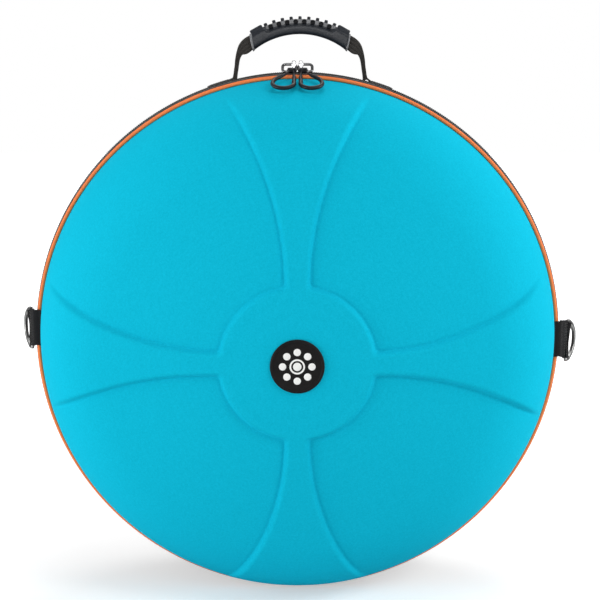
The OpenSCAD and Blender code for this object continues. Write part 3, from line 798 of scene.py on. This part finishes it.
def handle_webbing(name):
    """The folded webbing on one side, from the sewn end on the rim up into the grip."""
    side = SIDES[name]
    shape = Shape()
    rim_r = REAR_WALL_R + 0.15 + STRAP_T / 2
    foot = math.degrees(math.asin((HANDLE_HALF_W + side * HANDLE_X + 2.5) / rim_r))
    turn = np.radians(np.linspace(foot + 5.2, foot, 12))
    rim = stacked(rim_r * np.sin(turn) - side * HANDLE_X, rim_r * np.cos(turn))
    rise = [[76.6, 294.2], [75.3, 297.3], [74.6, 301.5], [74.0, 306]]
    strap_ribbon(shape, curve_through(np.vstack([rim[:-1], rise]), 5), side)
    outer = [[76.4, 293.0], [76.2, 296.5], [75.2, 303.8], [74.5, 310], [74.0, 315.5], [73.0, 321.2],
             [71.9, 325.8], [69.9, 331.6], [67.0, 336.0], [63.0, 339.6], [58.6, 342.2], [54.0, 344.4]]
    inner = [[72.4, 291.8], [72.2, 296.5], [71.1, 303.8], [70.2, 310], [69.1, 315.5], [67.2, 319.6],
             [65.6, 321.0], [63.7, 321.3], [61.6, 321.6], [59.2, 322.6], [55.8, 325.2], [52.0, 328.8]]
    thick_fold(shape, outer, inner, side)
    webbing = shape.piece("handle_webbing_" + name, WEBBING_UP, None, "webbing",
                          ["handle_strap_" + name, "handle_anchor_" + name], sharp_deg=50)
    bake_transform(webbing)

    def rim_stitch(turn_deg, y, crosswise):
        turn = math.radians(foot + turn_deg)
        c, s = math.cos(turn), math.sin(turn)
        out = np.array([side * s, 0, c])
        along = np.array([0, 1, 0] if crosswise else [side * c, 0, -s])
        return np.array([0, HANDLE_Y + y, CENTRE_Z]) + (rim_r + STRAP_T / 2) * out, along, out

    places = [rim_stitch(0.8 + 0.52 * step, y, False) for y in (-10.2, 10.2) for step in range(8)]
    places += [rim_stitch(turn, -8.3 + 3.3 * step, True) for turn in (0.7, 4.7) for step in range(6)]
    stitches(places, 2.3, 0.6, 0.15).piece("handle_stitches_" + name, THREAD, "base", "webbing")


# ---- Strap rings ----

def ring_tab(name):
    """Webbing folded round the strap ring's bar, its ends sewn into the seam beside the piping."""
    side, reach = SIDES[name], RING_REACH[name]
    thick = 1.0
    wrap = 2.0 + thick / 2
    front = [[292.6, 24.5], [295.4, 22.6], [299.0, 21.5], [302.3, 19.6], [304.6, 15.6]]
    bend = arc((reach, -BAR_H), wrap, 15, -200, 16) * [1, -1]
    back = [[reach - 2.9, 6.2], [303.4, 11.8], [302.4, 16.2]]
    line = curve_through(np.vstack([front, bend, back]), 3)
    seam_z = CENTRE_Z + RING_RISE[name] + TAB_LIFT[name]
    height = seam_z - TAB_LIFT[name] * (1 - soft_step(line[:, 1], 0, 16))
    shape = Shape().tube(swept(stacked(side * line[:, 0], -line[:, 1], height),
                               rounded_rect(thick, 2 * TAB_HALF_H, thick * 0.42), [0, 0, 1]))
    shape.piece("strap_tab_" + name, WEBBING_TAB, "lid", "webbing", ["ring_tab_" + name], sharp_deg=50)
    start, end = np.array([304.9, 15.4]), np.array([reach + 2.9, 5.2])
    run = end - start
    out = np.array([-side * run[1], -run[0], 0]) / np.linalg.norm(run)
    places = []
    for share in (0.35, 0.62):
        spot = start + run * share
        for z in np.linspace(-20, 16, 12):
            point = np.array([side * spot[0], -spot[1], seam_z + z])
            places.append((point + 0.45 * out, np.array([0, 0, 1]), out))
    stitches(places, 2.3, 0.55, 0.15).piece("tab_stitches_" + name, THREAD, "lid", "webbing")


def strap_ring(name):
    """Cast D-ring: a round bar in the tab and an angular bow with a sunk face."""
    side, reach, lean = SIDES[name], RING_REACH[name], RING_LEAN[name]
    origin = np.array([side * reach, -BAR_H, CENTRE_Z + RING_RISE[name]])
    out = np.array([side * math.sin(lean), math.cos(lean), 0])
    across = np.array([math.cos(lean), -side * math.sin(lean), 0])
    up = np.array([0, 0, 1.0])
    corners = [[-0.6, 22.2], [7.5, 22.2], [16.8, 16.2], [22.6, 8.2], [23.6, 0]]
    corners = np.array(corners + [[x, -z] for x, z in corners[-2::-1]])
    line = np.array([a + (b - a) * t for a, b in zip(corners, corners[1:]) for t in (0.12, 0.5, 0.88)])
    path = origin + line[:, :1] * out + line[:, 1:] * up
    w, t, groove = 2.2, 1.9, 0.6
    section = [[-w, -t + 0.5], [-w + 0.5, -t], [-w + 1.0, -t], [-w + 1.3, -t + groove],
               [w - 1.3, -t + groove], [w - 1.0, -t], [w - 0.5, -t], [w, -t + 0.5]]
    section += [[-x, -y] for x, y in section]
    shape = Shape().tube(swept(path, section, across))
    bar = np.array([origin + up * z for z in (-22.9, -22.6, -12, 0, 12, 22.6, 22.9)])
    sizes = np.array([1.5, 1.9, 1.9, 1.9, 1.9, 1.9, 1.5])
    shape.tube(swept(bar, circle(1, 20) * sizes[:, None, None], out))
    ring = shape.piece("strap_ring_" + name, GUNMETAL, "strap_ring_" + name, "ring_metal",
                       ["d_ring_" + name], sharp_deg=35)
    # Painted shade: the floor of the sunk face takes the dark metal
    ring.data.materials.append(GROOVE_PAINTED_SHADE)
    for face in ring.data.polygons[:(len(path) - 1) * len(section)]:
        if face.index % len(section) in (3, 11):
            face.material_index = 1


# ---- Zip sliders and pulls ----

def beside_top(side, x, radius, h):
    """Point in a slider's frame: x along the zip towards the middle, radius outward, h to the front."""
    c, s = math.cos(SLIDER_TURN), math.sin(SLIDER_TURN)
    return stacked(-side * (x * c - radius * s), -h, CENTRE_Z + x * s + radius * c)


def slider(name):
    """Cast zip slider: two waisted plates, guide flanges, a neck, and a bail arch."""
    side = SIDES[name]
    shape = Shape()
    u = np.linspace(-1, 1, 17)
    half_w = 3.25 + 1.05 * soft_step(u, -0.2, 1.0) - 0.25 * np.cos(u * math.pi / 2)
    half_w *= np.sqrt(np.clip(1 - np.clip(np.abs(u) - 0.72, 0, 1) ** 2 / 0.28 ** 2 * 0.75, 0.1, 1))

    def plate(low, high, crown):
        rings = []
        for t, w in zip(u, half_w):
            bow = crown * (1 - t ** 2)
            edge = high - 0.1 + bow * 0.3
            half = np.array([[low, w - 0.3], [low + 0.3, w], [high - 0.5, w], [edge, w - 0.6],
                             [high + bow, w * 0.4]])
            section = np.vstack([half * [1, -1], half[::-1]])
            rings.append(beside_top(side, t * SLIDER_LENGTH / 2, section[:, 0], section[:, 1]))
        shape.tube(rings)

    def post(outline, x, h, levels):
        shape.tube([beside_top(side, outline[:, 0] + x, level, h + outline[:, 1]) for level in levels])

    plate(SLIDER_TOP_R + 0.05, SLIDER_TOP_R + SLIDER_PLATE_T - 0.1, 0.3)
    plate(TAPE_R - 2.2, TAPE_R - 0.75, 0)
    for h in (-3.55, 3.55):
        post(rounded_rect(9.6, 1.0, 0.45, 3), 0.3, h, SLIDER_TOP_R + np.array([-0.9, 0.2, 0.7]))
    post(rounded_rect(4.0, 0.8, 0.35, 3), 1.0, 0, (TAPE_R - 1, SLIDER_TOP_R + 0.2))
    shape.piece("zip_slider_" + name, SLIDER_BLACK, "zip_" + name, "slider_metal", ["slider_" + name],
                sharp_deg=45)

    radius = 3.35
    line = np.vstack([[[-radius, -6.0], [-radius, -3]], arc((0, 0), radius, 180, 0, 17),
                      [[radius, -3], [radius, -6.0]]])
    path = beside_top(side, 2.5, BAIL_PIVOT_R + line[:, 1], line[:, 0])
    along = beside_top(side, 1.0, BAIL_PIVOT_R, 0) - beside_top(side, 0.0, BAIL_PIVOT_R, 0)
    flare = 1 + 0.25 * (np.abs(line[:, 0]) / radius) ** 3
    bail = Shape().tube(swept(path, rounded_rect(1.6, 4.2, 0.7) * stacked(1, flare)[:, None], along))
    bail.piece("zip_bail_" + name, CHROME, "zip_" + name, "bail_chrome", ["slider_bail_" + name],
               sharp_deg=50)


def pull_wire(name):
    """Wire ring, a rounded rectangle that hangs over the piping, in metal darkened as a painted dark
    reflection.
    """
    length = float(np.hypot(*RING_DROP))
    outline = rounded_rect(15, length + 1.6, 4.2, 9) + [9.1, length / 2 + 0.8]
    down = RING_DROP / length
    path = stacked(SIDES[name] * outline[:, 0], -outline[:, 1] * down[0],
                   CENTRE_Z + BAIL_PIVOT_R + outline[:, 1] * down[1])
    rings = swept(path, circle(RING_WIRE_R, 12), [0, down[1], down[0]], closed=True)
    shape = Shape().grid(rings, wrap_u=True, wrap_v=True)
    shape.piece("zip_wire_ring_" + name, WIRE_METAL_PAINTED_DARK, "zip_ring_" + name, "bail_chrome", ["pull_ring_" + name])


def pull_loop(name):
    """Rubber pull: thin legs from a collar on the wire ring, and a thicker bow round the far end."""
    side = SIDES[name]
    down, front = -math.sin(LOOP_SLOPE), math.cos(LOOP_SLOPE)
    origin_h, origin_r = LOOP_START
    leg = [[9.0, 3.4], [10.4, 9.5], [13.8, 16.0], [19.4, 22.5], [24.6, 30.0]]
    bow = [15.3, 41.5] + arc((0, 0), 11.9, -12, 196, 10) * [1, 1.12]
    inner_leg = [[3.5, 30.0], [3.8, 20.0], [4.2, 10.0], [4.6, 3.4]]
    line = curve_through(np.vstack([leg, bow, inner_leg]), 7)
    run = line[:, 1]
    path = stacked(side * line[:, 0], -(origin_h + run * front), CENTRE_Z + origin_r + run * down)
    thick = 1.1 + 1.2 * soft_step(run, 13, 25)
    shape = Shape().tube(swept(path, circle(1, 16) * thick[:, None, None], [0, down, front]))
    shape.piece("zip_pull_" + name, PULL_RUBBER, "zip_pull_" + name, "pull_rubber", ["pull_loop_" + name])

    wire = RING_DROP + [0, BAIL_PIVOT_R]
    collar = np.vstack([wire + [[-1.9, -0.6], [-1.2, 1.5], [0.6, 2.35]],
                        LOOP_START + [[-0.5, 1.8], [4.2, 0.4], [4.0, -2.6], [0, -3.2]],
                        wire + [[0.5, -2.2], [-1.3, -1.8]]])
    centre = collar.mean(0)
    rings = []
    for x, size in ((1.4, 0.72), (1.7, 0.92), (2.3, 1.0), (6.4, 1.04), (10.2, 1.0), (10.8, 0.92),
                    (11.1, 0.72)):
        ring = centre + (collar - centre) * size
        rings.append(stacked(side * x, -ring[:, 0], CENTRE_Z + ring[:, 1]))
    knot = Shape().tube(rings)
    knot.piece("zip_pull_knot_" + name, PULL_RUBBER, "zip_pull_" + name, "pull_rubber", sharp_deg=60)


# ---- Inside: lining and pads ----

def lining(node):
    """The CAD lining keeps its shape and takes the velour."""
    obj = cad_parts[node]
    obj.data.materials.clear()
    obj.data.materials.append(LINING)


def dome_radius(h, side, inset):
    """Radius of a shell's surface at height h, moved inward by inset."""
    if side < 0:
        return np.full_like(h, REAR_WALL_R - inset)
    r1, h1 = front_shoulder(INSIDE_LEAN)
    return r1 + np.sqrt((FRONT_SHOULDER - inset) ** 2 - (h - h1) ** 2)


def rim_pad(name, body, node, side):
    """Foam ring that holds the instrument's edge: plush channels between sewn seams."""
    inset = (SHELL_T if side > 0 else REAR_SHELL_T) + LINING_T + 0.6
    angles = full_turn(RIM_PAD_CHANNELS * 16)[:, None]
    puff = np.abs(np.sin(angles * RIM_PAD_CHANNELS / 2)) ** 0.5
    across = np.linspace(0, 1, 15)
    h = RIM_PAD_LOW + (RIM_PAD_HIGH - RIM_PAD_LOW) * across
    inside = RIM_PAD_R + RIM_PAD_PUFF * (1 - puff * np.sin(across * math.pi) ** 0.45)
    outside = dome_radius(h, side, inset)[::-1]
    r = np.hstack([inside, np.broadcast_to(outside, (len(angles), len(outside)))])
    rings = round_case(r, angles, side * np.hstack([h, h[::-1]]))
    pad = Shape().grid(rings, wrap_u=True, wrap_v=True).piece(name, PADDING, body, "padding", [node])


def crown_pad(name, body, node, side):
    """Round cushion in the dome: a cloth shell blown up by pressure, with a sewn ring and dimple."""
    low, high = box_mm(node)
    inner_h, outer_h = sorted((abs(low[1]), abs(high[1])))
    radius = high[0]
    inner = [[0.6, 3.5], [20, 3.5], [40, 3.7], [58, 4.2], [72, 5.6], [radius - 6, 8.0], [radius - 3.5, 10.5]]
    outer = [[radius - 5, -8.4], [70, -6.2], [50, -3.6], [25, -1.8], [0.6, -1.4]]
    profile = np.vstack([np.add(inner, [0, inner_h]), np.add(outer, [0, outer_h])])
    lines = round_case(profile[:, 0], full_turn(72)[:, None], side * profile[:, 1])
    pad = Shape().turned(lines).piece(name, PADDING, None, "padding", [node])
    puff_up(pad, voxel=5.5, cap=3.0)
    tuft(pad, side, inner_h, radius)
    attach(pad, body)


def puff_up(pad, voxel, cap):
    """Remeshes a pad and blows it up as cloth; no point moves further than cap millimetres."""
    bpy.context.view_layer.objects.active = pad
    remesh = pad.modifiers.new("Remesh", "REMESH")
    remesh.mode, remesh.voxel_size = "VOXEL", voxel * MM
    bpy.ops.object.modifier_apply(modifier=remesh.name)
    rest = np.array([v.co for v in pad.data.vertices])
    cloth = pad.modifiers.new("Cloth", "CLOTH")
    cloth.settings.use_pressure = True
    cloth.settings.uniform_pressure_force = 4
    cloth.settings.effector_weights.gravity = 0
    scene = bpy.context.scene
    for number in range(1, 21):
        scene.frame_set(number)
    bpy.ops.object.modifier_apply(modifier=cloth.name)
    scene.frame_set(1)
    step = np.array([v.co for v in pad.data.vertices]) - rest
    length = np.linalg.norm(step, axis=1)[:, None]
    step *= np.minimum(1, cap * MM / np.maximum(length, 1e-9))
    pad.data.vertices.foreach_set("co", (rest + step).ravel())
    smooth = pad.modifiers.new("Subdivision", "SUBSURF")
    smooth.levels = smooth.render_levels = 1
    bpy.ops.object.modifier_apply(modifier=smooth.name)
    pad.data.polygons.foreach_set("use_smooth", [True] * len(pad.data.polygons))


def tuft(pad, side, inner_h, radius):
    """Sews a ring of shallow stitches and a middle dimple into the cushion's visible face."""
    points = np.array([v.co for v in pad.data.vertices]) / MM
    distance = np.hypot(points[:, 0], points[:, 2] - CENTRE_Z)
    h = -side * points[:, 1]
    near = h < inner_h + 11
    ring = 2.4 * np.exp(-((distance - radius * 0.62) / 3.2) ** 2)
    dimple = 2.8 * np.exp(-(distance / 9.0) ** 2)
    points[:, 1] -= side * np.where(near, ring + dimple, 0)
    pad.data.vertices.foreach_set("co", (points * MM).ravel())


# ---- Stage, lights and camera ----

def stage():
    """A pale floor, which the camera sees fade into the white surround further out."""
    steps = np.linspace(-6000, 6000, 13)
    floor = Shape().grid(stacked(steps[:, None], steps, -0.02))
    look = Look("floor_paper", 0.9, specular=0.05)
    look.colour(look.noise(400), (0.74, 0.74, 0.74), (0.77, 0.77, 0.77))
    seen = look.add("ShaderNodeLightPath").outputs["Is Camera Ray"]
    look.bsdf.inputs["Emission Color"].default_value = (1, 1, 1, 1)
    away = look.add("ShaderNodeVectorMath", {0: look.place}, operation="LENGTH").outputs["Value"]
    fade = look.add("ShaderNodeMapRange", {"Value": away, 1: 0.35, 2: 1.6, 3: 0.42, 4: 1.0}).outputs[0]
    look.tree.links.new(look.math("MULTIPLY", seen, fade), look.bsdf.inputs["Emission Strength"])
    floor.piece("floor", look.material, None, None)


def lights():
    """Soft boxes aimed at the case, and a surround that lights less than the camera sees."""
    for name, place, size, watts in LIGHTS:
        light = bpy.data.lights.new(name, "AREA")
        light.shape, light.size, light.energy = "DISK", size, watts
        placed(name, light, place, Vector((0, 0, CENTRE_Z * MM)) - Vector(place))
    world = bpy.data.worlds.new("surround")
    bpy.context.scene.world = world
    world.use_nodes = True
    nodes, links = world.node_tree.nodes, world.node_tree.links
    nodes.clear()
    out, mix = nodes.new("ShaderNodeOutputWorld"), nodes.new("ShaderNodeMixShader")
    links.new(nodes.new("ShaderNodeLightPath").outputs["Is Camera Ray"], mix.inputs[0])
    for socket, strength in ((1, LIT_BY_WORLD), (2, WORLD_SEEN)):
        white = nodes.new("ShaderNodeBackground")
        white.inputs["Color"].default_value = (1, 1, 1, 1)
        white.inputs["Strength"].default_value = strength
        links.new(white.outputs[0], mix.inputs[socket])
    links.new(mix.outputs[0], out.inputs[0])
    bpy.context.scene.view_settings.view_transform = "Standard"


def camera():
    """Camera in front of the case, looking a little down at it."""
    data = bpy.data.cameras.new("camera")
    data.sensor_width, data.lens = 36, CAMERA_LENS
    data.clip_start, data.clip_end = 0.05, 60
    back = Vector((0, -math.cos(CAMERA_ELEVATION), math.sin(CAMERA_ELEVATION)))
    place = Vector(CAMERA_TARGET) * MM + back * CAMERA_DISTANCE_M
    bpy.context.scene.camera = placed("camera", data, place, -back)


camera()
stage()
lights()
front_cover()
rear_cover()
piping("piping_front", FRONT_PIPE_RING, FRONT_PIPE_R, PIPING_H, ORANGE, "lid", "front_piping")
piping("piping_rear", REAR_PIPE_RING, REAR_PIPE_R, -PIPING_H, BLACK_PIPING, "base", "rear_piping")
for half, facing, half_body, coil_phase in (("front", 1, "lid", 0.5), ("rear", -1, "base", 0.0)):
    zip_tape("zip_tape_" + half, facing, half_body, half + "_zip_tape")
    tape_stitching("zip_stitches_" + half, facing, half_body)
    zip_coil("zip_coil_" + half, facing, coil_phase, half_body, half + "_zip_coil")
    lining(half + "_lining")
    rim_pad("rim_pad_" + half, half_body, half + "_rim_pad", facing)
    crown_pad("crown_pad_" + half, half_body, half + "_crown_pad", facing)
hinge_gusset()
badge()
grip_body()
grip_details()
for which in SIDES:
    handle_webbing(which)
    ring_tab(which)
    strap_ring(which)
    slider(which)
    pull_wire(which)
    pull_loop(which)
